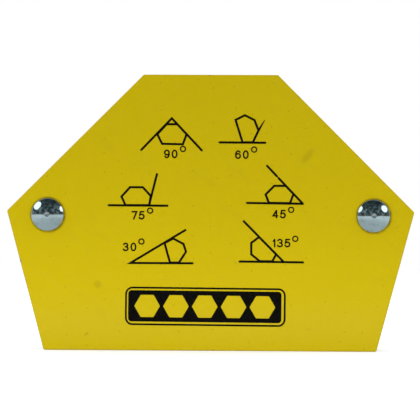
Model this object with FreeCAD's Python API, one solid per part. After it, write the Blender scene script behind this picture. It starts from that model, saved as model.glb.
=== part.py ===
"""Six-angle welding magnet holder: two steel pole plates riveted over a core of ferrite magnets.

The plates are one hexagon, cut so that any two of its edges meet, or would meet, at 30, 45, 60, 75, 90 or
135 degrees. Between them lie five ferrite blocks, magnetised through their thickness, which make one
plate a north pole and the other a south pole. Six aluminium bars close the gap all round, a little inside
the plates' edges, so that the steel touches the work first. Two round-head rivets hold the stack together,
each through a steel bush that keeps the plates parallel. Nothing moves.

Frame, in millimetres: X along the holder's width, Y through its thickness with the front face towards -Y,
Z up. The origin is the middle of the bottom edge, halfway through the thickness.
"""
import FreeCAD
import Part
import math
import os

# --- outline of the plates ---
WIDTH = 110.0                # corner to corner, at the widest level
LOWER_HEIGHT = 37.6          # bottom edge to the widest level
UPPER_HEIGHT = 36.9          # widest level to the top edge
SIDE_ANGLE = 75.0            # lower side edges against the bottom edge
SLANT_ANGLE = 45.0           # upper slanted edges against the top edge
CORNER_RADIUS = 0.6          # stamped corners, seen from the front
RIM_RADIUS = 0.25            # rounding of each plate's outer face along its edges

# --- stack, through the thickness ---
PLATE_THICKNESS = 1.5
GAP = 10.0                   # between the plates: the magnets' thickness

# --- aluminium bars round the core ---
BAR_INSET = 1.0              # from the plates' edges to the bars' outer faces
BAR_THICKNESS = 3.0
BAR_END_GAP = 0.15           # left between two bars where they meet
BAR_CHAMFER = 0.3            # along a bar's long edges

# --- ferrite blocks ---
MAGNET_LENGTH = 40.0
MAGNET_HEIGHT = 20.0
MAGNET_CHAMFER = 0.5
MAGNET_PAIR_GAP = 0.3        # between the two blocks of a row
MAGNET_ROW_GAP = 0.7
MAGNET_FLOOR = 4.6           # height of the lowest row above the bottom edge

# --- rivets and bushes ---
RIVET_X = 44.0
RIVET_Z = 36.6
SHANK_RADIUS = 2.5
PLATE_HOLE_RADIUS = 2.6
BUSH_OUTER_RADIUS = 3.5
BUSH_INNER_RADIUS = 2.65
HEAD_RADIUS = 4.4            # made head, on the front
HEAD_RIM = 0.4               # upright rim of the made head
HEAD_HEIGHT = 2.1
TAIL_RADIUS = 4.1            # formed head, on the back
TAIL_RIM = 0.5
TAIL_HEIGHT = 2.1
DIMPLE_RADIUS = 0.9          # mark left in the middle of each head by the riveting tools
DIMPLE_DEPTH = 0.12

HALF_GAP = GAP / 2
HALF_STACK = HALF_GAP + PLATE_THICKNESS
HEIGHT = LOWER_HEIGHT + UPPER_HEIGHT
SIDES = {-1: "left", 1: "right"}


def save(shape, name):
    """Writes one sub-part, and stops if it isn't sound."""
    if not shape.isValid() or shape.Volume <= 0:
        raise ValueError(name + " is not a valid solid")
    shape.exportStep("parts/" + name + ".step")
    print(name, round(shape.Volume, 1), "mm3")


def plate_corners():
    """The hexagon's corners as (x, z), anticlockwise from the bottom left, seen from the front."""
    widest = WIDTH / 2
    bottom = widest - LOWER_HEIGHT / math.tan(math.radians(SIDE_ANGLE))
    top = widest - UPPER_HEIGHT / math.tan(math.radians(SLANT_ANGLE))
    return [
        (-bottom, 0.0),
        (bottom, 0.0),
        (widest, LOWER_HEIGHT),
        (top, HEIGHT),
        (-top, HEIGHT),
        (-widest, LOWER_HEIGHT),
    ]


def edge_names():
    """Names for the hexagon's edges: edge number i runs from corner i to corner i + 1."""
    return ["bottom", "right_lower", "right_upper", "top", "left_upper", "left_lower"]


def inset_corners(corners, distance):
    """The same polygon with every edge moved inwards by distance."""
    moved = []
    for i, (x, z) in enumerate(corners):
        x0, z0 = corners[i - 1]
        x1, z1 = corners[(i + 1) % len(corners)]
        before = (x - x0, z - z0)
        after = (x1 - x, z1 - z)
        # The inward normal of an edge (dx, dz) of an anticlockwise polygon is (-dz, dx) over its length.
        a, b = math.hypot(*before), math.hypot(*after)
        n0 = (-before[1] / a, before[0] / a)
        n1 = (-after[1] / b, after[0] / b)
        # The new corner is distance from both edges, so it lies along the sum of their normals.
        share = distance / (1 + n0[0] * n1[0] + n0[1] * n1[1])
        moved.append((x + (n0[0] + n1[0]) * share, z + (n0[1] + n1[1]) * share))
    return moved


def slab(corners, y_front, y_back):
    """A flat solid with that outline, from y_front to y_back."""
    points = [FreeCAD.Vector(x, y_front, z) for x, z in corners]
    face = Part.Face(Part.makePolygon(points + points[:1]))
    return face.extrude(FreeCAD.Vector(0, y_back - y_front, 0))


def upright_edges(solid):
    """The straight edges that run through the thickness, along Y."""
    found = []
    for edge in solid.Edges:
        direction = edge.Vertexes[-1].Point - edge.Vertexes[0].Point
        if direction.Length > 0 and abs(direction.y) > 0.999 * direction.Length:
            found.append(edge)
    return found


def edges_at(solid, y):
    """The edges that lie wholly in the plane at that y."""
    box_of = [(edge, edge.BoundBox) for edge in solid.Edges]
    return [edge for edge, box in box_of if abs(box.YMin - y) < 1e-6 and abs(box.YMax - y) < 1e-6]


def cylinder_along_y(x, z, radius, y_front, y_back):
    base = FreeCAD.Vector(x, y_front, z)
    return Part.makeCylinder(radius, y_back - y_front, base, FreeCAD.Vector(0, 1, 0))


def pole_plate(y_front, y_back, y_outer):
    """One steel plate with a hole for each rivet. y_outer is its outer face, whose rim is rounded."""
    plate = slab(plate_corners(), y_front, y_back)
    plate = plate.makeFillet(CORNER_RADIUS, upright_edges(plate))
    plate = plate.makeFillet(RIM_RADIUS, edges_at(plate, y_outer))
    for side in SIDES:
        hole = cylinder_along_y(side * RIVET_X, RIVET_Z, PLATE_HOLE_RADIUS, y_front - 1, y_back + 1)
        plate = plate.cut(hole)
    return plate


def spacer_bar(edge):
    """The aluminium bar along one edge of the hexagon. Its mitred ends stay clear of its neighbours."""
    outer = inset_corners(plate_corners(), BAR_INSET)
    inner = inset_corners(plate_corners(), BAR_INSET + BAR_THICKNESS)
    following = (edge + 1) % len(outer)
    length = math.dist(outer[edge], outer[following])
    along = [(outer[following][k] - outer[edge][k]) / length for k in range(2)]
    # Half of the gap lies on each side of a mitre. It is measured along the bar's outer face.
    back = BAR_END_GAP / 2
    outline = [
        (outer[edge][0] + along[0] * back, outer[edge][1] + along[1] * back),
        (outer[following][0] - along[0] * back, outer[following][1] - along[1] * back),
        (inner[following][0] - along[0] * back, inner[following][1] - along[1] * back),
        (inner[edge][0] + along[0] * back, inner[edge][1] + along[1] * back),
    ]
    bar = slab(outline, -HALF_GAP, HALF_GAP)
    long_edges = [e for e in bar.Edges if e.Length > GAP and abs(e.BoundBox.YLength) < 1e-6]
    return bar.makeChamfer(BAR_CHAMFER, long_edges)


def magnet_block(x_low, z_low):
    """One ferrite block, as thick as the gap between the plates."""
    corner = FreeCAD.Vector(x_low, -HALF_GAP, z_low)
    block = Part.makeBox(MAGNET_LENGTH, GAP, MAGNET_HEIGHT, corner)
    return block.makeChamfer(MAGNET_CHAMFER, block.Edges)


def magnet_blocks():
    """Five like blocks in three rows: two, two and one. Gives {name: solid}."""
    blocks = {}
    pitch = MAGNET_HEIGHT + MAGNET_ROW_GAP
    for row, level in enumerate(["lower", "middle"]):
        z_low = MAGNET_FLOOR + row * pitch
        blocks[level + "_right_magnet"] = magnet_block(MAGNET_PAIR_GAP / 2, z_low)
        blocks[level + "_left_magnet"] = magnet_block(-MAGNET_PAIR_GAP / 2 - MAGNET_LENGTH, z_low)
    blocks["upper_magnet"] = magnet_block(-MAGNET_LENGTH / 2, MAGNET_FLOOR + 2 * pitch)
    return blocks


def head_outline(radius, rim, height, face, outward):
    """Edges of one rivet head in the half-plane (radius, y), from the shank out to the rivet's axis.

    face is the plate surface that the head sits on, and outward is -1 for the front and 1 for the back.
    The dome is an arc that starts on the upright rim and ends at the shallow dimple in its middle.
    """
    rise = height - rim
    sphere = (radius**2 + rise**2) / (2 * rise)

    def dome(r):
        """A point of the dome at distance r from the axis."""
        y = face + outward * (rim + rise - sphere + math.sqrt(sphere**2 - r**2))
        return FreeCAD.Vector(r, y, 0)

    lip = dome(DIMPLE_RADIUS)
    bottom = FreeCAD.Vector(0, lip.y - outward * DIMPLE_DEPTH, 0)
    # The dimple is an arc about the axis; this is its point halfway out.
    scoop = (DIMPLE_RADIUS**2 + DIMPLE_DEPTH**2) / (2 * DIMPLE_DEPTH)
    half = DIMPLE_RADIUS / 2
    halfway = FreeCAD.Vector(half, bottom.y + outward * (scoop - math.sqrt(scoop**2 - half**2)), 0)
    shank = FreeCAD.Vector(SHANK_RADIUS, face, 0)
    foot = FreeCAD.Vector(radius, face, 0)
    shoulder = dome(radius)
    return [
        Part.makeLine(shank, foot),
        Part.makeLine(foot, shoulder),
        Part.Arc(shoulder, dome((radius + DIMPLE_RADIUS) / 2), lip).toShape(),
        Part.Arc(lip, halfway, bottom).toShape(),
    ]


def rivet(x):
    """A round-head rivet: made head on the front plate, shank, and a narrower formed head behind."""
    front = head_outline(HEAD_RADIUS, HEAD_RIM, HEAD_HEIGHT, -HALF_STACK, -1)
    back = head_outline(TAIL_RADIUS, TAIL_RIM, TAIL_HEIGHT, HALF_STACK, 1)
    shank = Part.makeLine(front[0].Vertexes[0].Point, back[0].Vertexes[0].Point)
    axis = Part.makeLine(front[-1].Vertexes[-1].Point, back[-1].Vertexes[-1].Point)
    wire = Part.Wire(Part.__sortEdges__(front + back + [shank, axis]))
    solid = Part.Face(wire).revolve(FreeCAD.Vector(0, 0, 0), FreeCAD.Vector(0, 1, 0), 360)
    solid.translate(FreeCAD.Vector(x, 0, RIVET_Z))
    return solid


def rivet_bush(x):
    """A steel tube round the rivet's shank, as long as the gap between the plates."""
    tube = cylinder_along_y(x, RIVET_Z, BUSH_OUTER_RADIUS, -HALF_GAP, HALF_GAP)
    return tube.cut(cylinder_along_y(x, RIVET_Z, BUSH_INNER_RADIUS, -HALF_GAP - 1, HALF_GAP + 1))


def main():
    os.makedirs("parts", exist_ok=True)
    save(pole_plate(-HALF_STACK, -HALF_GAP, -HALF_STACK), "front_plate")
    save(pole_plate(HALF_GAP, HALF_STACK, HALF_STACK), "rear_plate")
    for edge, name in enumerate(edge_names()):
        save(spacer_bar(edge), name + "_spacer_bar")
    for name, block in magnet_blocks().items():
        save(block, name)
    for side, name in SIDES.items():
        save(rivet(side * RIVET_X), name + "_rivet")
        save(rivet_bush(side * RIVET_X), name + "_rivet_bush")


main()
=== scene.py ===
"""Looks of the six-angle welding magnet holder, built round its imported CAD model.

Two stamped steel plates in yellow enamel are held by two bright-plated round-head rivets. Between them
lie aluminium bars and ferrite blocks. The front plate carries black screen print: one small drawing for
each angle, and a panel. Lengths are in millimetres until a mesh is finished, and then in metres.
"""
import math
import bmesh
import bpy
from mathutils import Matrix, Vector


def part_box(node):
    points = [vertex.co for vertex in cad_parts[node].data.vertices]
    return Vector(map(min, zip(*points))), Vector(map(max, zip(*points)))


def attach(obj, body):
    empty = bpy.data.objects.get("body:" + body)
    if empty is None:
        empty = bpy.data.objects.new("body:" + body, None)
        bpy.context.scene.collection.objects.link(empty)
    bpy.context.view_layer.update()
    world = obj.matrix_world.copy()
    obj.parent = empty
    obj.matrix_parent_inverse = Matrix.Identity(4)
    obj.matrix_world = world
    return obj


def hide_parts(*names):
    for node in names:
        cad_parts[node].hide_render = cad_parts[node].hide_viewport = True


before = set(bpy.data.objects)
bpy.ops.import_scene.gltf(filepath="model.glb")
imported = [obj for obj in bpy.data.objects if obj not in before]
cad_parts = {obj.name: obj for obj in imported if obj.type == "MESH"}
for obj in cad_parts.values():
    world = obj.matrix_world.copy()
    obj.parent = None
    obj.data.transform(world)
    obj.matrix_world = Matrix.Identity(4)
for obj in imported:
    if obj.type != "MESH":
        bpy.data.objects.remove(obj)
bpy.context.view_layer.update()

MM = 0.001
SHARP_ANGLE = math.radians(32)   # edges that turn more than this stay sharp
ARC_STEPS = 5                    # straight runs in a small rounding seen in section

# --- plates ---
WIDTH = 110.0                    # corner to corner, at the widest level
LOWER_HEIGHT = 37.6              # bottom edge to the widest level
HEIGHT = 74.5
SIDE_ANGLE = math.radians(75)    # lower side edges against the bottom edge
SLANT_ANGLE = math.radians(45)   # upper slanted edges against the top edge
CORNER_RADIUS = 0.6
RIM_RADIUS = 0.25                # rounding of the outer face's edge
BURR_CHAMFER = 0.06              # broken edge of the inner face
RIM_BAND = 0.5                   # ring of the outer face that wears first
HOLE_RADIUS = 2.6
HOLE_STEPS = 48

# --- rivets ---
HEAD_RIM = 0.4                   # upright rim under the dome of the front head
TAIL_RIM = 0.5                   # the same on the formed head behind
TAIL_SHORTFALL = 0.3             # the formed head's radius is this much less
SHANK_RADIUS = 2.5
FOOT_CHAMFER = 0.22
SHOULDER_RADIUS = 0.14           # between the upright rim and the dome
DOME_STEPS = 26
DIMPLE_RADIUS = 0.8              # mark left in the middle of each head by the riveting tools
DIMPLE_DEPTH = 0.05
DIMPLE_STEPS = 8
DIMPLE_FADE = 0.3                # share of the dimple's radius over which its dull surface fades out
TURNED_STEPS = 96                # flats round a turned solid

# --- painted shade on the enamel round each rivet head: a dark ring for its contact shadow ---
SHADE_RING_INNER = 4.45
SHADE_RING_OUTER = 5.15
SHADE_RING_OFFSET = (0.12, -0.10)     # it lies a little to the lower right, where the upper-left lamp's shadow falls

# --- faint marks on the front plate's paint: (middle, half length and half width, slope, strength) ---
RUB_MARKS = [
    ((26.1, 52.6), (3.6, 1.3), math.radians(50), 0.26),
    ((-30.3, 17.8), (1.5, 1.5), 0.0, 0.30),
    ((-33.3, 4.4), (1.0, 0.35), math.radians(39), 0.60),
]
MARK_CORE = 0.25                 # share of a mark's width, from its middle, at full strength

# --- screen print ---
INK_HEIGHT = 0.02
STROKE = 0.60
DIGIT_WIDTH = 1.62
ONE_WIDTH = 0.80                 # the numeral 1 is narrower
DIGIT_HEIGHT = 2.35
DIGIT_STROKE = 0.42
RING_RADIUS = 0.87               # degree sign
RING_STROKE = 0.36
RING_STEPS = 32
PANEL_TURN = math.radians(0.37)  # the panel was printed a little out of square, its right end lower


# ---------------------------------------------------------------- outlines, as lists of (x, z)

def plate_corners():
    """The hexagon, anticlockwise from the bottom left, seen from the front."""
    widest = WIDTH / 2
    bottom = widest - LOWER_HEIGHT / math.tan(SIDE_ANGLE)
    top = widest - (HEIGHT - LOWER_HEIGHT) / math.tan(SLANT_ANGLE)
    return [
        (-bottom, 0.0),
        (bottom, 0.0),
        (widest, LOWER_HEIGHT),
        (top, HEIGHT),
        (-top, HEIGHT),
        (-widest, LOWER_HEIGHT),
    ]


def rectangle(left, right, low, high):
    return [(left, low), (right, low), (right, high), (left, high)]


def circle(x, z, radius, steps):
    """Points of a circle, or the corners of a regular polygon, anticlockwise."""
    turns = [2 * math.pi * k / steps for k in range(steps)]
    return [(x + radius * math.cos(a), z + radius * math.sin(a)) for a in turns]


def inset(corners, distance):
    """An anticlockwise polygon with every edge moved inwards by distance."""
    moved = []
    for i, corner in enumerate(corners):
        before = (Vector(corner) - Vector(corners[i - 1])).normalized()
        after = (Vector(corners[(i + 1) % len(corners)]) - Vector(corner)).normalized()
        normals = Vector((-before.y, before.x)) + Vector((-after.y, after.x))
        share = distance / (1 + before.dot(after))
        moved.append(tuple(Vector(corner) + normals * share))
    return moved


def rounded(corners, radius, steps=6):
    """An anticlockwise convex polygon with each corner turned into an arc."""
    points = []
    for i, corner in enumerate(corners):
        here = Vector(corner)
        back = (Vector(corners[i - 1]) - here).normalized()
        ahead = (Vector(corners[(i + 1) % len(corners)]) - here).normalized()
        half = back.angle(ahead) / 2
        centre = here + (back + ahead).normalized() * (radius / math.sin(half))
        spoke = here + back * (radius / math.tan(half)) - centre
        for k in range(steps + 1):
            turned = Matrix.Rotation((math.pi - 2 * half) * k / steps, 2) @ spoke
            points.append(tuple(centre + turned))
    return points


def stroke_outline(points, cap_steps=8):
    """Outline of a line with round ends through points (x, z, width), anticlockwise."""
    places = [Vector(p[:2]) for p in points]
    halves = [p[2] / 2 for p in points]
    runs = [(b - a).normalized() for a, b in zip(places, places[1:])]
    right, left = [], []
    for i, place in enumerate(places):
        before, after = runs[max(i - 1, 0)], runs[min(i, len(runs) - 1)]
        side = Vector((before.y + after.y, -before.x - after.x)) / (1 + before.dot(after))
        right.append(place + side * halves[i])
        left.append(place - side * halves[i])

    def cap(end, start):
        """Half a circle about an end of the line, anticlockwise from start."""
        turns = [Matrix.Rotation(math.pi * k / cap_steps, 2) for k in range(cap_steps + 1)]
        return [end + turn @ (start - end) for turn in turns]

    outline = right[:-1] + cap(places[-1], right[-1]) + left[-2:0:-1] + cap(places[0], left[0])
    return [tuple(p) for p in outline[:-1]]


# ---------------------------------------------------------------- meshes

def ring_of(bm, outline, y):
    """Points of the mesh along an outline, at depth y."""
    return [bm.verts.new((x, y, z)) for x, z in outline]


def skin(bm, rings):
    """Quads between each closed ring of points and the next."""
    for ring, following in zip(rings, rings[1:]):
        for i in range(len(ring)):
            j = (i + 1) % len(ring)
            bm.faces.new((ring[i], ring[j], following[j], following[i]))


def fill(bm, rings):
    """A flat face with the first ring as its outline and the others as holes."""
    edges = []
    for ring in rings:
        for a, b in zip(ring, ring[1:] + ring[:1]):
            edges.append(bm.edges.get((a, b)) or bm.edges.new((a, b)))
    bmesh.ops.triangle_fill(bm, use_beauty=True, use_dissolve=False, edges=edges)


def prism(outlines, y_front, y_back):
    """A flat closed solid. The first outline is its edge, and the others are holes."""
    bm = bmesh.new()
    front = [ring_of(bm, outline, y_front) for outline in outlines]
    back = [ring_of(bm, outline, y_back) for outline in outlines]
    for pair in zip(front, back):
        skin(bm, pair)
    fill(bm, front)
    fill(bm, back)
    bmesh.ops.recalc_face_normals(bm, faces=bm.faces)
    return bm


def lathe(profile, x, z):
    """A closed solid turned about (x, z) from (radius, y) points, the first and last on the axis."""
    bm = bmesh.new()
    tip, tail = [bm.verts.new((x, y, z)) for _, y in (profile[0], profile[-1])]
    rings = [ring_of(bm, circle(x, z, radius, TURNED_STEPS), y) for radius, y in profile[1:-1]]
    skin(bm, rings)
    for i in range(TURNED_STEPS):
        j = (i + 1) % TURNED_STEPS
        bm.faces.new((tip, rings[0][j], rings[0][i]))
        bm.faces.new((tail, rings[-1][i], rings[-1][j]))
    return bm


def scratch_object(bm):
    """An object for a boolean, which is removed afterwards."""
    mesh = bpy.data.meshes.new("scratch")
    bm.to_mesh(mesh)
    bm.free()
    thing = bpy.data.objects.new("scratch", mesh)
    bpy.context.scene.collection.objects.link(thing)
    return thing


def shown_mesh(thing):
    """The object's mesh with its modifiers, as a bmesh."""
    graph = bpy.context.evaluated_depsgraph_get()
    mesh = bpy.data.meshes.new_from_object(thing.evaluated_get(graph))
    bm = bmesh.new()
    bm.from_mesh(mesh)
    bpy.data.meshes.remove(mesh)
    return bm


def united(solids):
    """One closed solid from several that overlap."""
    things = [scratch_object(bm) for bm in solids]
    for other in things[1:]:
        union = things[0].modifiers.new("union", "BOOLEAN")
        union.operation = "UNION"
        union.solver = "EXACT"
        union.object = other
    bm = shown_mesh(things[0])
    for thing in things:
        bpy.data.objects.remove(thing)
    return bm


def joined(solids):
    """One mesh from several that stay apart."""
    bm = bmesh.new()
    for solid in solids:
        mesh = bpy.data.meshes.new("scratch")
        solid.to_mesh(mesh)
        solid.free()
        bm.from_mesh(mesh)
        bpy.data.meshes.remove(mesh)
    return bm


def piece(name, bm, material, stands_for=()):
    """A finished piece of the holder, in metres, that rides on its one body."""
    bmesh.ops.recalc_face_normals(bm, faces=bm.faces)
    for edge in bm.edges:
        edge.smooth = edge.calc_face_angle(math.pi) < SHARP_ANGLE
    for face in bm.faces:
        face.smooth = True
    mesh = bpy.data.meshes.new(name)
    bm.to_mesh(mesh)
    bm.free()
    mesh.transform(Matrix.Scale(MM, 4))
    mesh.materials.append(material)
    made = bpy.data.objects.new(name, mesh)
    bpy.context.scene.collection.objects.link(made)
    weighted = made.modifiers.new("weighted normals", "WEIGHTED_NORMAL")
    weighted.keep_sharp = True
    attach(made, "root")
    if stands_for:
        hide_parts(*stands_for)


# ---------------------------------------------------------------- materials

class Nodes:
    """Short words for building a node tree."""

    def __init__(self, tree):
        self.tree = tree
        tree.nodes.clear()

    def add(self, kind, inputs=None, **settings):
        """A node. inputs gives its sockets, by name or number, a value or another node's output."""
        node = self.tree.nodes.new("ShaderNode" + kind)
        for name, value in settings.items():
            setattr(node, name, value)
        for name, value in (inputs or {}).items():
            # A plain value stays on the socket itself.
            if isinstance(value, bpy.types.NodeSocket):
                self.tree.links.new(value, node.inputs[name])
            else:
                node.inputs[name].default_value = value
        return node

    def place(self, scale=(1, 1, 1), turn=(0, 0, 0)):
        """The point's place on the object, in metres, turned and then scaled."""
        source = self.add("TexCoord").outputs["Object"]
        turned = self.add("Mapping", {0: source, "Rotation": turn}, vector_type="POINT").outputs[0]
        return self.add("Mapping", {0: turned, "Scale": scale}, vector_type="POINT").outputs[0]

    def noise(self, size, vector, detail=2.0, roughness=0.5):
        """Noise about 0.5, with features about as large as size, in millimetres."""
        inputs = {"Vector": vector, "Scale": 1 / (size * MM), "Detail": detail, "Roughness": roughness}
        return self.add("TexNoise", inputs, noise_dimensions="3D").outputs["Fac"]

    def range(self, value, low, high, to_low=0.0, to_high=1.0, kind="SMOOTHSTEP"):
        """value moved from the range low to high into the range to_low to to_high, and held within it."""
        inputs = {"Value": value, 1: low, 2: high, 3: to_low, 4: to_high}
        return self.add("MapRange", inputs, interpolation_type=kind).outputs["Result"]

    def math(self, operation, a, b):
        return self.add("Math", {0: a, 1: b}, operation=operation).outputs[0]

    def mix(self, factor, a, b):
        """Colour a where the factor is 0, and b where it is 1."""
        return self.add("Mix", {0: factor, 6: a, 7: b}, data_type="RGBA").outputs[2]

    def times(self, a, b):
        return self.math("MULTIPLY", a, b)

    def plus(self, a, b):
        return self.math("ADD", a, b)

    def bump(self, height, distance, below=None):
        """Relief that rises by distance, in millimetres, where height goes from 0 to 1."""
        inputs = {"Height": height, "Strength": 1.0, "Distance": distance * MM}
        if below is not None:
            inputs["Normal"] = below
        return self.add("Bump", inputs).outputs["Normal"]

    def surface(self, **inputs):
        """A Principled surface. Words with an underscore stand for names with a space."""
        named = {name.replace("_", " "): value for name, value in inputs.items()}
        shader = self.add("BsdfPrincipled", named)
        self.add("OutputMaterial", {"Surface": shader.outputs[0]})


def new_material(name):
    """A material, with its emptied node tree."""
    material = bpy.data.materials.new(name)
    material.use_nodes = True
    return material, Nodes(material.node_tree)


def sparse_specks(nodes, cell, radius, share, flat):
    """Round dots of that radius in a share of the cells, both lengths in millimetres."""
    inputs = {"Vector": flat, "Scale": 1 / (cell * MM), "Randomness": 1.0}
    cells = nodes.add("TexVoronoi", inputs, voronoi_dimensions="2D", feature="F1")
    dot = nodes.range(cells.outputs["Distance"], 0.0, radius / cell, 1.0, 0.0)
    chance = nodes.add("SeparateColor", {0: cells.outputs["Color"]}).outputs[0]
    chosen = nodes.math("LESS_THAN", chance, share)
    return nodes.times(dot, chosen)


def yellow_enamel(rivets):
    """Stoved enamel on sheet steel: orange peel, dust, rub marks, worn rims, and painted shade round the
    rivets.
    """
    material, nodes = new_material("yellow_enamel")
    place = nodes.place()
    axes = nodes.add("SeparateXYZ", {0: place})
    flat = nodes.add("CombineXYZ", {0: axes.outputs[0], 1: axes.outputs[2]}).outputs[0]

    paint = (0.660, 0.500, 0.0004, 1)
    deep = (0.610, 0.455, 0.0002, 1)
    light = (0.700, 0.535, 0.0020, 1)
    cloud = nodes.range(nodes.noise(26, place, 3.0), 0.35, 0.65)
    grain = nodes.range(nodes.noise(0.55, place, 3.0, 0.65), 0.30, 0.70)
    colour = nodes.mix(nodes.times(cloud, 0.16), paint, light)
    colour = nodes.mix(nodes.times(grain, 0.34), colour, deep)

    # Dust grains under the paint make small dark dots, each with a little raised cap.
    nib = sparse_specks(nodes, 5.0, 0.32, 0.40, flat)
    fine = sparse_specks(nodes, 2.1, 0.18, 0.30, flat)
    nib_colour = (0.20, 0.12, 0.002, 1)
    fine_colour = (0.24, 0.155, 0.001, 1)
    colour = nodes.mix(nodes.times(nib, 0.42), colour, nib_colour)
    colour = nodes.mix(nodes.times(fine, 0.34), colour, fine_colour)

    # Painted shade: a dark ring where the rivet heads meet the paint stands for their contact shadow.
    painted_shade_colour = (0.20, 0.125, 0.002, 1)
    painted_shade = 0.0
    for x, z in rivets:
        axis = ((x + SHADE_RING_OFFSET[0]) * MM, (z + SHADE_RING_OFFSET[1]) * MM, 0)
        distance = nodes.add("VectorMath", {0: flat, 1: axis}, operation="DISTANCE").outputs["Value"]
        ring = nodes.range(distance, SHADE_RING_INNER * MM, SHADE_RING_OUTER * MM, 1.0, 0.0)
        painted_shade = nodes.plus(ring, painted_shade)
    uneven = nodes.range(nodes.noise(1.2, place, 2.0), 0.3, 0.6, 0.45, 0.80)
    colour = nodes.mix(nodes.times(painted_shade, uneven), colour, painted_shade_colour)

    # A soft rub mark, a round blot and a short scuff, which only the front plate has.
    rubbed = (0.27, 0.20, 0.002, 1)
    front = nodes.math("LESS_THAN", axes.outputs[1], 0.0)
    for (x, z), (half_length, half_width), slope, strength in RUB_MARKS:
        oval = {0: flat, "Location": (x * MM, z * MM, 0), "Rotation": (0, 0, slope),
                "Scale": (half_length * MM, half_width * MM, 1)}
        within = nodes.add("Mapping", oval, vector_type="TEXTURE").outputs[0]
        distance = nodes.add("VectorMath", {0: within}, operation="LENGTH").outputs["Value"]
        mark = nodes.range(distance, MARK_CORE, 1.0, strength, 0.0)
        colour = nodes.mix(nodes.times(mark, front), colour, rubbed)

    # Paint thins over the rim, and chips off in places down to the grey primer.
    thin = (0.56, 0.385, 0.001, 1)
    primer = (0.17, 0.16, 0.145, 1)
    rim = nodes.add("Attribute", attribute_name="rim").outputs["Fac"]
    colour = nodes.mix(nodes.times(rim, 0.35), colour, thin)
    patch = nodes.range(nodes.noise(7, place, 4.0, 0.7), 0.60, 0.66)
    crumbs = nodes.range(nodes.noise(0.7, place, 3.0, 0.7), 0.50, 0.56)
    worn = nodes.times(patch, crumbs)
    chip = nodes.times(worn, nodes.range(rim, 0.55, 0.95))
    colour = nodes.mix(chip, colour, primer)

    # Handling leaves faint smears along one slanting direction.
    smeared = (0.47, 0.33, 0.004, 1)
    smear = nodes.noise(1, nodes.place((0.10, 0.10, 0.35), (0, math.radians(-38), 0)), 3.0)
    colour = nodes.mix(nodes.range(smear, 0.60, 0.78, 0.0, 0.12), colour, smeared)
    rough = nodes.range(smear, 0.35, 0.70, 0.21, 0.30)
    rough = nodes.plus(rough, nodes.range(grain, 0.0, 1.0, -0.02, 0.03, "LINEAR"))
    rough = nodes.plus(rough, nodes.times(chip, 0.25))

    normal = nodes.bump(nodes.noise(1.7, place, 2.0, 0.45), 0.012)
    normal = nodes.bump(nodes.noise(0.45, place, 1.0), 0.0012, normal)
    normal = nodes.bump(nodes.plus(nib, fine), 0.03, normal)
    normal = nodes.bump(chip, -0.04, normal)
    # The punch leaves fine lines through the sheet's thickness, which the paint doesn't quite hide.
    shear = nodes.noise(0.16, nodes.place((1, 0.08, 1)), 2.0)
    normal = nodes.bump(nodes.times(shear, rim), 0.008, normal)
    nodes.surface(Base_Color=colour, Roughness=rough, Normal=normal, Specular_IOR_Level=0.10)
    return material


def black_ink():
    """Screen-printed ink, a little uneven in gloss and depth."""
    material, nodes = new_material("black_ink")
    place = nodes.place()
    solid = (0.0018, 0.0018, 0.0018, 1)
    thin = (0.006, 0.0055, 0.004, 1)
    patches = nodes.noise(0.8, place, 3.0, 0.6)
    colour = nodes.mix(nodes.range(patches, 0.35, 0.75), solid, thin)
    rough = nodes.range(nodes.noise(2.5, place, 3.0), 0.3, 0.7, 0.24, 0.40)
    normal = nodes.bump(nodes.noise(0.35, place, 2.0), 0.002)
    nodes.surface(Base_Color=colour, Roughness=rough, Normal=normal, Specular_IOR_Level=0.04)
    return material


def rivet_plating():
    """Bright plating over an upset steel head: soft dents, fine scratches, and a duller struck dimple."""
    material, nodes = new_material("rivet_plating")
    place = nodes.place()
    bright = (0.42, 0.525, 0.560, 1)
    stained = (0.35, 0.435, 0.450, 1)
    bruised = (0.40, 0.43, 0.43, 1)
    stain = nodes.range(nodes.noise(1.6, place, 3.0, 0.6), 0.40, 0.75)
    colour = nodes.mix(stain, bright, stained)
    struck = nodes.add("Attribute", attribute_name="struck").outputs["Fac"]
    colour = nodes.mix(nodes.times(struck, 0.5), colour, bruised)
    hair = nodes.noise(0.10, nodes.place((1, 1, 0.06), (0, math.radians(24), 0)), 2.0, 0.6)
    rough = nodes.range(hair, 0.45, 0.75, 0.07, 0.16)
    rough = nodes.plus(rough, nodes.times(struck, 0.26))
    normal = nodes.bump(nodes.noise(1.5, place, 2.0, 0.5), 0.022)
    normal = nodes.bump(hair, 0.0006, normal)
    normal = nodes.bump(nodes.times(nodes.noise(0.5, place, 2.0), struck), 0.03, normal)
    nodes.surface(Base_Color=colour, Roughness=rough, Normal=normal, Metallic=1.0)
    return material


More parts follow.
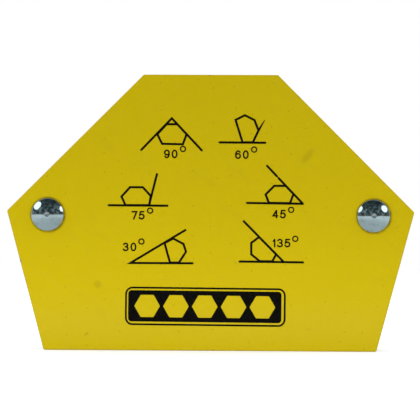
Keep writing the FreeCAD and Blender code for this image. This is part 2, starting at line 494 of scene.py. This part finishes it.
def bar_aluminium(name, slope):
    """Extruded flat bar: die lines along its length, which rises at slope, and a dull oxide film."""
    material, nodes = new_material(name)
    along = (0, slope, 0)
    clean = (0.64, 0.645, 0.65, 1)
    oxide = (0.54, 0.545, 0.55, 1)
    drawn = (0.44, 0.445, 0.455, 1)
    groove = (0.33, 0.335, 0.34, 1)
    bare = (0.80, 0.80, 0.81, 1)
    lines = nodes.noise(0.14, nodes.place((0.012, 1, 1), along), 3.0, 0.6)
    wide_lines = nodes.noise(0.9, nodes.place((0.010, 1, 1), along), 2.0)
    film = nodes.range(nodes.noise(3, nodes.place((0.35, 1, 1), along), 4.0, 0.65), 0.36, 0.72)
    colour = nodes.mix(film, clean, oxide)
    colour = nodes.mix(nodes.range(wide_lines, 0.40, 0.62, 0.0, 0.45), colour, drawn)
    colour = nodes.mix(nodes.range(lines, 0.52, 0.70, 0.0, 0.45), colour, groove)
    # A few short handling scratches run across the die lines.
    across = nodes.noise(0.22, nodes.place((1, 1, 0.05), (0, slope + math.radians(35), 0)), 1.0)
    scratch = nodes.range(across, 0.70, 0.74)
    colour = nodes.mix(nodes.times(scratch, 0.5), colour, bare)
    rough = nodes.range(lines, 0.3, 0.7, 0.36, 0.50)
    normal = nodes.bump(wide_lines, 0.010)
    normal = nodes.bump(lines, 0.005, normal)
    normal = nodes.bump(scratch, -0.008, normal)
    nodes.surface(Base_Color=colour, Roughness=rough, Normal=normal, Metallic=1.0)
    return material


def ferrite():
    """Sintered and ground ceramic magnet: charcoal, with fine pits."""
    material, nodes = new_material("ferrite")
    place = nodes.place()
    grain = nodes.noise(0.25, place, 3.0, 0.7)
    charcoal = (0.022, 0.022, 0.024, 1)
    grey = (0.050, 0.049, 0.050, 1)
    colour = nodes.mix(nodes.range(grain, 0.3, 0.7), charcoal, grey)
    pits = nodes.range(nodes.noise(0.9, place, 2.0), 0.62, 0.70)
    rough = nodes.range(grain, 0.3, 0.7, 0.52, 0.70)
    normal = nodes.bump(grain, 0.006)
    normal = nodes.bump(pits, -0.03, normal)
    nodes.surface(Base_Color=colour, Roughness=rough, Normal=normal, Specular_IOR_Level=0.45)
    return material


def bush_steel():
    """Turned steel tube with a thin zinc coat: tool marks round it."""
    material, nodes = new_material("bush_steel")
    place = nodes.place()
    marks = nodes.noise(0.10, nodes.place((0.05, 1, 0.05)), 2.0)
    bloom = nodes.range(nodes.noise(2.2, place, 3.0), 0.35, 0.70)
    fresh = (0.52, 0.54, 0.57, 1)
    dull = (0.40, 0.41, 0.42, 1)
    colour = nodes.mix(bloom, fresh, dull)
    rough = nodes.range(marks, 0.3, 0.7, 0.30, 0.42)
    nodes.surface(Base_Color=colour, Roughness=rough, Normal=nodes.bump(marks, 0.004), Metallic=1.0)
    return material


# ---------------------------------------------------------------- plates

def rivet_places():
    """{side: (x, z)} of the rivets' axes, from the CAD, in millimetres."""
    places = {}
    for side in ("left", "right"):
        low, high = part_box(side + "_rivet")
        middle = (low + high) / 2 / MM
        places[side] = (middle.x, middle.z)
    return places


def plate(node, outwards, material):
    """One pole plate. outwards is -1 for the front plate and 1 for the rear plate."""
    low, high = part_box(node)
    y_inner, y_outer = sorted((low.y / MM, high.y / MM), key=lambda y: y * outwards)
    thickness = abs(y_outer - y_inner)
    corners = plate_corners()
    bm = bmesh.new()
    rim = bm.verts.layers.float.new("rim")

    # (inset from the outline, depth under the outer face, wear) from the inner face to the outer one
    section = [(BURR_CHAMFER, thickness, 0.6), (0.0, thickness - BURR_CHAMFER, 0.7)]
    for k in range(ARC_STEPS + 1):
        turn = math.pi / 2 * k / ARC_STEPS
        section.append((RIM_RADIUS * (1 - math.cos(turn)), RIM_RADIUS * (1 - math.sin(turn)), 1.0))
    section.append((RIM_BAND, 0.0, 0.0))
    rings = []
    for distance, depth, wear in section:
        outline = rounded(inset(corners, distance), CORNER_RADIUS - distance)
        rings.append(ring_of(bm, outline, y_outer - outwards * depth))
        for vert in rings[-1]:
            vert[rim] = wear
    skin(bm, rings)

    inner_holes, outer_holes = [], []
    for x, z in rivet_places().values():
        inner_holes.append(ring_of(bm, circle(x, z, HOLE_RADIUS, HOLE_STEPS), y_inner))
        outer_holes.append(ring_of(bm, circle(x, z, HOLE_RADIUS, HOLE_STEPS), y_outer))
        skin(bm, [inner_holes[-1], outer_holes[-1]])
    fill(bm, [rings[0]] + inner_holes)
    fill(bm, [rings[-1]] + outer_holes)
    piece("enamelled_" + node, bm, material, [node])


# ---------------------------------------------------------------- rivets

def head_profile(radius, rim, height):
    """(radius, height over the plate) from the foot of a rivet head to its middle."""
    rise = height - rim
    sphere = (radius**2 + rise**2) / (2 * rise)
    slope = math.asin(radius / sphere)

    def dome(r):
        return height - sphere + math.sqrt(sphere**2 - r**2)

    profile = [(radius - FOOT_CHAMFER, 0.0), (radius, FOOT_CHAMFER)]
    # The shoulder is an arc tangent to the upright rim and to the dome.
    reach = SHOULDER_RADIUS * math.tan((math.pi / 2 - slope) / 2)
    for k in range(ARC_STEPS + 1):
        turn = (math.pi / 2 - slope) * k / ARC_STEPS
        r = radius - SHOULDER_RADIUS * (1 - math.cos(turn))
        profile.append((r, rim - reach + SHOULDER_RADIUS * math.sin(turn)))
    start = profile[-1][0]
    for k in range(1, DOME_STEPS + 1):
        r = start + (DIMPLE_RADIUS - start) * k / DOME_STEPS
        profile.append((r, dome(r)))
    # The dimple is a shallow bowl with a soft lip.
    lip = dome(DIMPLE_RADIUS)
    for k in range(1, DIMPLE_STEPS + 1):
        share = k / DIMPLE_STEPS
        depth = DIMPLE_DEPTH * 0.5 * (1 - math.cos(math.pi * share))
        profile.append((DIMPLE_RADIUS * (1 - share), lip - depth))
    return profile


def rivet(side, x, z, material):
    """Made head in front, shank, and formed head behind, as one turned solid."""
    node = side + "_rivet"
    low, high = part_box(node)
    face_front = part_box("front_plate")[0].y / MM
    face_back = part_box("rear_plate")[1].y / MM
    front_height = face_front - low.y / MM
    back_height = high.y / MM - face_back
    head_radius = (high.x - low.x) / 2 / MM
    front = head_profile(head_radius, HEAD_RIM, front_height)
    back = head_profile(head_radius - TAIL_SHORTFALL, TAIL_RIM, back_height)
    profile = [(r, face_front - h) for r, h in reversed(front)]
    profile += [(SHANK_RADIUS, face_front), (SHANK_RADIUS, face_back)]
    profile += [(r, face_back + h) for r, h in back]
    bm = lathe(profile, x, z)
    struck = bm.verts.layers.float.new("struck")
    for vert in bm.verts:
        off_axis = math.hypot(vert.co.x - x, vert.co.z - z)
        vert[struck] = min(1.0, max(0.0, (DIMPLE_RADIUS - off_axis) / (DIMPLE_FADE * DIMPLE_RADIUS)))
    piece("plated_" + node, bm, material, [node])


# ---------------------------------------------------------------- screen print

# Each drawing shows the holder between two bars of the work. Places are millimetres on the plate, from
# the middle of its bottom edge: the hexagon's corners, the lines (with widths where they aren't even),
# the digits' left and right ends and foot, and the middle of the degree sign.
DRAWINGS = {
    "90": {
        "hexagon": [(-13.1, 55.8), (-7.5, 55.7), (-6.5, 58.4),
                    (-9.0, 61.1), (-11.9, 61.1), (-14.4, 58.4)],
        "lines": [[(-18.7, 54.15), (-10.5, 62.7), (-2.4, 54.1)]],
        "digits": (-12.6, -8.9, 51.9),
        "ring": (-7.45, 54.45),
    },
    "60": {
        "hexagon": [(8.6, 56.3), (11.4, 56.3), (12.9, 59.5),
                    (11.8, 62.3), (9.2, 63.6), (6.7, 62.3)],
        "lines": [
            [(2.45, 56.25), (14.75, 56.2)],
            [(12.88, 59.45), (14.5, 62.2, 0.25)],
        ],
        "digits": (6.6, 10.3, 51.8),
        "ring": (11.75, 54.35),
    },
    "75": {
        "hexagon": [(-22.9, 39.2), (-16.5, 39.2), (-16.1, 41.75),
                    (-18.25, 44.05), (-21.7, 44.05), (-24.0, 41.5)],
        "lines": [
            [(-27.45, 39.15), (-11.6, 39.1)],
            [(-16.5, 39.2), (-16.1, 41.0), (-14.45, 47.6)],
        ],
        "digits": (-21.3, -17.7, 35.3),
        "ring": (-16.25, 37.75),
    },
    "45": {
        "hexagon": [(15.8, 40.0), (21.5, 39.95), (22.4, 42.4),
                    (20.3, 44.6), (17.25, 44.6), (14.9, 42.25)],
        "lines": [
            [(9.9, 39.95), (24.95, 39.8)],
            [(15.25, 50.0), (17.9, 47.2), (18.15, 46.95, 0.25), (18.4, 46.65), (24.95, 39.8)],
        ],
        "digits": (16.75, 20.4, 35.8),
        "ring": (21.8, 38.15),
    },
    "30": {
        "hexagon": [(-10.8, 23.75), (-8.4, 23.75), (-6.5, 26.7),
                    (-7.2, 28.8), (-9.95, 30.25), (-12.3, 29.0)],
        "lines": [[(-4.75, 23.6), (-21.5, 23.6), (-6.7, 32.55)]],
        "digits": (-23.6, -19.9, 26.75),
        "ring": (-18.55, 29.4),
    },
    "135": {
        "hexagon": [(13.4, 24.25), (16.8, 24.25), (17.8, 26.15),
                    (13.2, 30.75), (11.1, 29.2), (11.1, 26.1)],
        "lines": [
            [(8.0, 24.15), (25.05, 24.0)],
            [(9.05, 35.0), (19.75, 24.2)],
        ],
        "digits": (16.85, 21.65, 28.0),
        "ring": (22.95, 30.35),
    },
}

PANEL = (-22.05, 19.3, 7.7, 16.15)       # left, right, low, high
PANEL_RADIUS = 0.9
FRAME_LINE = (-22.65, 20.2, 6.95, 16.85)
FRAME_STROKE = 0.50
FRAME_RADIUS = 2.0
WINDOWS = 5                               # bare hexagons in the panel
WINDOW_HEIGHT = 6.0
WINDOW_RADIUS = 0.35
SAME_PLACE = 1e-6                         # a line whose ends are closer than this is closed


def ink_levels():
    """Front and back of the ink, in millimetres: its back lies on the front plate's face."""
    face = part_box("front_plate")[0].y / MM
    return face - INK_HEIGHT, face


def line_solid(points, width=STROKE):
    """An inked line with round ends. A point may carry its own width."""
    wide = [(*p, width) if len(p) == 2 else p for p in points]
    return prism([stroke_outline(wide)], *ink_levels())


def band(outer, width, radius=0.0):
    """A closed line, of that width, just inside an anticlockwise outline."""
    inner = inset(outer, width)
    if radius:
        outer, inner = rounded(outer, radius), rounded(inner, radius - width)
    return prism([outer, inner], *ink_levels())


def bow(x, z, across, up, start, end, steps=14):
    """Points of an ellipse about (x, z), between two angles in degrees."""
    turns = [math.radians(start + (end - start) * k / steps) for k in range(steps + 1)]
    return [(x + across * math.cos(a), z + up * math.sin(a)) for a in turns]


# Centre lines of plain numerals in a box one wide and one high. A closed line ends where it starts.
SIX = [bow(0.5, 0.31, 0.5, 0.31, 0, 360, 28), bow(0.53, 0.50, 0.53, 0.50, 185, 42)]
NUMERALS = {
    "0": [bow(0.5, 0.5, 0.5, 0.5, 0, 360, 32)],
    "1": [[(0.9, 0.0), (0.9, 1.0)], [(0.9, 1.0), (0.0, 0.76)]],
    "3": [bow(0.47, 0.755, 0.44, 0.245, 160, -90), bow(0.47, 0.265, 0.53, 0.265, 90, -160)],
    "4": [[(1.0, 0.27), (0.0, 0.27), (0.74, 1.0)], [(0.74, 1.0), (0.74, 0.0)]],
    "5": [[(0.93, 1.0), (0.20, 1.0), (0.06, 0.49)], bow(0.47, 0.32, 0.53, 0.32, 142, -158)],
    "6": SIX,
    "7": [[(0.0, 1.0), (1.0, 1.0), (0.36, 0.0)]],
    "9": [[(1 - x, 1 - z) for x, z in line] for line in SIX],
}


def digits(text, left, right, foot):
    """Plain numerals from left to right, each a closed solid."""
    widths = [ONE_WIDTH if sign == "1" else DIGIT_WIDTH for sign in text]
    gap = (right - left - sum(widths)) / (len(text) - 1)
    made = []
    for sign, width in zip(text, widths):
        strokes = []
        for line in NUMERALS[sign]:
            placed = []
            for x, z in line:
                placed.append((left + DIGIT_STROKE / 2 + x * (width - DIGIT_STROKE),
                               foot + DIGIT_STROKE / 2 + z * (DIGIT_HEIGHT - DIGIT_STROKE)))
            closed = math.dist(line[0], line[-1]) < SAME_PLACE
            if closed:
                strokes.append(band(inset(placed[:-1], -DIGIT_STROKE / 2), DIGIT_STROKE))
            else:
                strokes.append(line_solid(placed, DIGIT_STROKE))
        made.append(united(strokes))
        left += width + gap
    return joined(made)


def angle_print(name, drawing, material):
    """One angle: the hexagon with its work lines, the digits and the degree sign."""
    ring = circle(*drawing["ring"], RING_RADIUS, RING_STEPS)
    hole = circle(*drawing["ring"], RING_RADIUS - RING_STROKE, RING_STEPS)
    figure = [band(inset(drawing["hexagon"], -STROKE / 2), STROKE)]
    figure += [line_solid(line) for line in drawing["lines"]]
    parts = [united(figure), digits(name, *drawing["digits"]), prism([ring, hole], *ink_levels())]
    piece("print_%s_degrees" % name, joined(parts), material)


def panel_print(material):
    """A black panel with a row of bare hexagons, and a thin line round it."""
    left, right, low, high = PANEL
    middle_x = (left + right) / 2
    middle_z = (low + high) / 2
    reach = WINDOW_HEIGHT / 2 / math.cos(math.pi / 6)
    pitch = (right - left - (high - low - WINDOW_HEIGHT)) / WINDOWS
    windows = []
    for k in range(WINDOWS):
        x = middle_x + (k - (WINDOWS - 1) / 2) * pitch
        windows.append(rounded(circle(x, middle_z, reach, 6), WINDOW_RADIUS, 4))
    body = prism([rounded(rectangle(*PANEL), PANEL_RADIUS)] + windows, *ink_levels())
    outline = inset(rectangle(*FRAME_LINE), -FRAME_STROKE / 2)
    bm = joined([body, band(outline, FRAME_STROKE, FRAME_RADIUS)])
    turn = Matrix.Rotation(PANEL_TURN, 3, "Y")
    bmesh.ops.rotate(bm, verts=bm.verts, cent=(middle_x, 0.0, middle_z), matrix=turn)
    piece("print_panel", bm, material)


# ---------------------------------------------------------------- parts kept from the CAD

def edge_slopes():
    """{edge name: its rise, in radians} for the bars that lie along the plates' edges."""
    names = ["bottom", "right_lower", "right_upper", "top", "left_upper", "left_lower"]
    corners = plate_corners()
    slopes = {}
    for i, name in enumerate(names):
        (x0, z0), (x1, z1) = corners[i], corners[(i + 1) % len(corners)]
        slopes[name] = math.atan2(z1 - z0, x1 - x0)
    return slopes


def dress(name, material):
    """Gives a CAD part its material."""
    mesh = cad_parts[name].data
    mesh.materials.clear()
    mesh.materials.append(material)


def dress_core():
    """Materials for the bars, blocks and bushes, whose CAD shapes stay."""
    for edge, slope in edge_slopes().items():
        name = edge + "_spacer_bar"
        dress(name, bar_aluminium("bar_aluminium_" + edge, slope))
    block_material = ferrite()
    tube_material = bush_steel()
    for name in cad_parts:
        if name.endswith("_magnet"):
            dress(name, block_material)
        if name.endswith("_bush"):
            dress(name, tube_material)


# ---------------------------------------------------------------- stage, light and camera

FLOOR_RADIUS = 3.0
FLOOR_DROP = 0.00005             # keeps the floor clear of the plates' feet, in metres
FLOOR_NEAR = 0.22                # the floor fades to plain white from here
FLOOR_FAR = 0.75                 # to here, in metres from the object
EYE_LIFT = 0.50                  # added to the near floor as the eye sees it, so that it looks white
FAR_GLOW = 0.45                  # how bright the far floor is as light, against white to the eye
MIRRORED_NEAR = (0.04, 0.66)     # (metres from the object, brightness) of the paper in reflections, with painted shade beside the object
MIRRORED_FAR = (0.24, 1.0)
WHITE = (1, 1, 1, 1)
SKY_STRENGTH = 0.74

# Lamps: places and sizes in metres, powers in watts.
SOFTBOX_AIM = (0.0, 0.0, 0.037)
SOFTBOXES = {
    # name: (place, diameter, power)
    "left_softbox": ((-0.21, -0.090, 0.170), 0.135, 0.095),
    "right_softbox": ((0.215, -0.098, 0.145), 0.11, 0.065),
}
FILL_PLACE = (-0.012, -0.045, 0.005)
FILL_AIM = (-0.012, 0, 0.010)
FILL_LENGTH = 0.22
FILL_HEIGHT = 0.008
FILL_POWER = 0.012
OVERHEAD_PLACE = (0, 0.35, 0.80)
OVERHEAD_AIM = (0, 0, 0.04)
OVERHEAD_SIZE = 0.80
OVERHEAD_POWER = 3.0

# The camera looks from the front and a little from the right. Distances are in metres.
CAMERA_AZIMUTH = math.radians(1.08)
CAMERA_ROLL = math.radians(0.28)
CAMERA_DISTANCE = 0.5
CAMERA_LENS = 156.8              # focal length in millimetres
CAMERA_TARGET = Vector((-0.0002, 0.0, 0.0380))


def make_floor():
    """A round sheet of paper that melts into the white round it."""
    bm = bmesh.new()
    bmesh.ops.create_circle(bm, cap_ends=True, segments=96, radius=FLOOR_RADIUS)
    mesh = bpy.data.meshes.new("floor")
    bm.to_mesh(mesh)
    bm.free()
    floor = bpy.data.objects.new("floor", mesh)
    floor.location.z = -FLOOR_DROP
    bpy.context.scene.collection.objects.link(floor)
    material, nodes = new_material("floor_paper")
    place = nodes.place()
    distance = nodes.add("VectorMath", {0: place}, operation="LENGTH").outputs["Value"]
    fade = nodes.range(distance, FLOOR_NEAR, FLOOR_FAR)
    paper = nodes.add("BsdfDiffuse", {"Color": (0.64, 0.66, 0.67, 1)})
    rays = nodes.add("LightPath")
    seen = rays.outputs["Is Camera Ray"]
    strength = nodes.range(seen, 0.0, 1.0, FAR_GLOW, 1.0)
    glow = nodes.add("Emission", {"Color": WHITE, "Strength": strength})
    lift = nodes.add("Emission", {"Color": WHITE, "Strength": nodes.times(seen, EYE_LIFT)})
    near = nodes.add("AddShader", {0: paper.outputs[0], 1: lift.outputs[0]})
    both = nodes.add("MixShader", {0: fade, 1: near.outputs[0], 2: glow.outputs[0]})
    # Painted shade in reflections: glossy rays see the paper as an emission, darker beside the object where
    # its shadow falls, and paler further off.
    painted_floor_shade = nodes.range(distance, MIRRORED_NEAR[0], MIRRORED_FAR[0], MIRRORED_NEAR[1], MIRRORED_FAR[1])
    mirrored = nodes.add("Emission", {"Color": (0.95, 1, 0.99, 1), "Strength": painted_floor_shade})
    glossy = rays.outputs["Is Glossy Ray"]
    surface = nodes.add("MixShader", {0: glossy, 1: both.outputs[0], 2: mirrored.outputs[0]})
    nodes.add("OutputMaterial", {"Surface": surface.outputs[0]})
    mesh.materials.append(material)


def make_world():
    """White to the eye and pale as light. Glossy surfaces see a dim room in front and pale walls behind."""
    world = bpy.data.worlds.new("studio")
    bpy.context.scene.world = world
    world.use_nodes = True
    nodes = Nodes(world.node_tree)
    towards = nodes.add("TexCoord").outputs["Generated"]
    axes = nodes.add("SeparateXYZ", {0: towards})
    rays = nodes.add("LightPath")
    # In front the room is cluttered, darker overhead, and browner in a strip over the floor.
    shade = (0.036, 0.052, 0.056, 1)
    lit_clutter = (0.30, 0.35, 0.34, 1)
    ceiling = (0.022, 0.032, 0.034, 1)
    brown = (0.23, 0.16, 0.13, 1)
    pale_wall = (0.75, 0.76, 0.78, 1)
    clutter = nodes.add("TexNoise", {"Vector": towards, "Scale": 4.5, "Detail": 4.0}).outputs["Fac"]
    dark = nodes.mix(nodes.range(clutter, 0.42, 0.66), shade, lit_clutter)
    dark = nodes.mix(nodes.range(axes.outputs[2], 0.25, 0.95, 0.0, 0.85), dark, ceiling)
    dark = nodes.mix(nodes.range(axes.outputs[2], 0.02, 0.09, 0.7, 0.0), dark, brown)
    in_front = nodes.range(axes.outputs[1], -0.25, 0.05, 1.0, 0.0)
    room = nodes.mix(in_front, pale_wall, dark)
    seen = nodes.add("Background", {"Color": WHITE, "Strength": 1.0})
    light = nodes.add("Background", {"Color": (0.97, 0.985, 1, 1), "Strength": SKY_STRENGTH})
    mirrored = nodes.add("Background", {"Color": room, "Strength": 1.0})
    glossy = rays.outputs["Is Glossy Ray"]
    camera = rays.outputs["Is Camera Ray"]
    lit = nodes.add("MixShader", {0: glossy, 1: light.outputs[0], 2: mirrored.outputs[0]})
    both = nodes.add("MixShader", {0: camera, 1: lit.outputs[0], 2: seen.outputs[0]})
    nodes.add("OutputWorld", {"Surface": both.outputs[0]})


def softbox(name, place, aim, size, power):
    """A round soft light that the camera doesn't see."""
    light = bpy.data.lights.new(name, "AREA")
    light.shape = "DISK"
    light.size = size
    light.energy = power
    lamp = bpy.data.objects.new(name, light)
    lamp.location = place
    lamp.rotation_euler = (Vector(aim) - Vector(place)).to_track_quat("-Z", "Y").to_euler()
    lamp.visible_camera = False
    bpy.context.scene.collection.objects.link(lamp)
    return lamp


def front_fill():
    """A low strip just over the floor, in front, that lifts the foot of the plate."""
    lamp = softbox("front_fill", FILL_PLACE, FILL_AIM, FILL_LENGTH, FILL_POWER)
    lamp.data.shape = "ELLIPSE"
    lamp.data.size_y = FILL_HEIGHT
    lamp.visible_glossy = False


def overhead_lamp():
    """A wide light above and behind, which the bare metal doesn't mirror."""
    lamp = softbox("overhead_lamp", OVERHEAD_PLACE, OVERHEAD_AIM, OVERHEAD_SIZE, OVERHEAD_POWER)
    lamp.visible_glossy = False


def make_camera():
    """Level with the middle of the holder and nearly square to its front."""
    data = bpy.data.cameras.new("camera")
    data.lens = CAMERA_LENS
    data.sensor_width = 36.0
    data.clip_start = 0.01
    data.clip_end = 20.0
    camera = bpy.data.objects.new("camera", data)
    back = Vector((math.sin(CAMERA_AZIMUTH), -math.cos(CAMERA_AZIMUTH), 0.0))
    right = Vector((0, 0, 1)).cross(back).normalized()
    turned = Matrix.Rotation(CAMERA_ROLL, 3, back)
    axes = [turned @ right, turned @ back.cross(right), back]
    moved = Matrix.Translation(CAMERA_TARGET + back * CAMERA_DISTANCE)
    camera.matrix_world = moved @ Matrix(axes).transposed().to_4x4()
    bpy.context.scene.collection.objects.link(camera)
    bpy.context.scene.camera = camera


# ---------------------------------------------------------------- everything

enamel = yellow_enamel(rivet_places().values())
ink = black_ink()
plating = rivet_plating()
plate("front_plate", -1, enamel)
plate("rear_plate", 1, enamel)
for side, (x, z) in rivet_places().items():
    rivet(side, x, z, plating)
for name, drawing in DRAWINGS.items():
    angle_print(name, drawing, ink)
panel_print(ink)
dress_core()

make_floor()
make_world()
for name, (place, size, power) in SOFTBOXES.items():
    softbox(name, place, SOFTBOX_AIM, size, power)
front_fill()
overhead_lamp()
make_camera()
bpy.context.scene.view_settings.view_transform = "Standard"
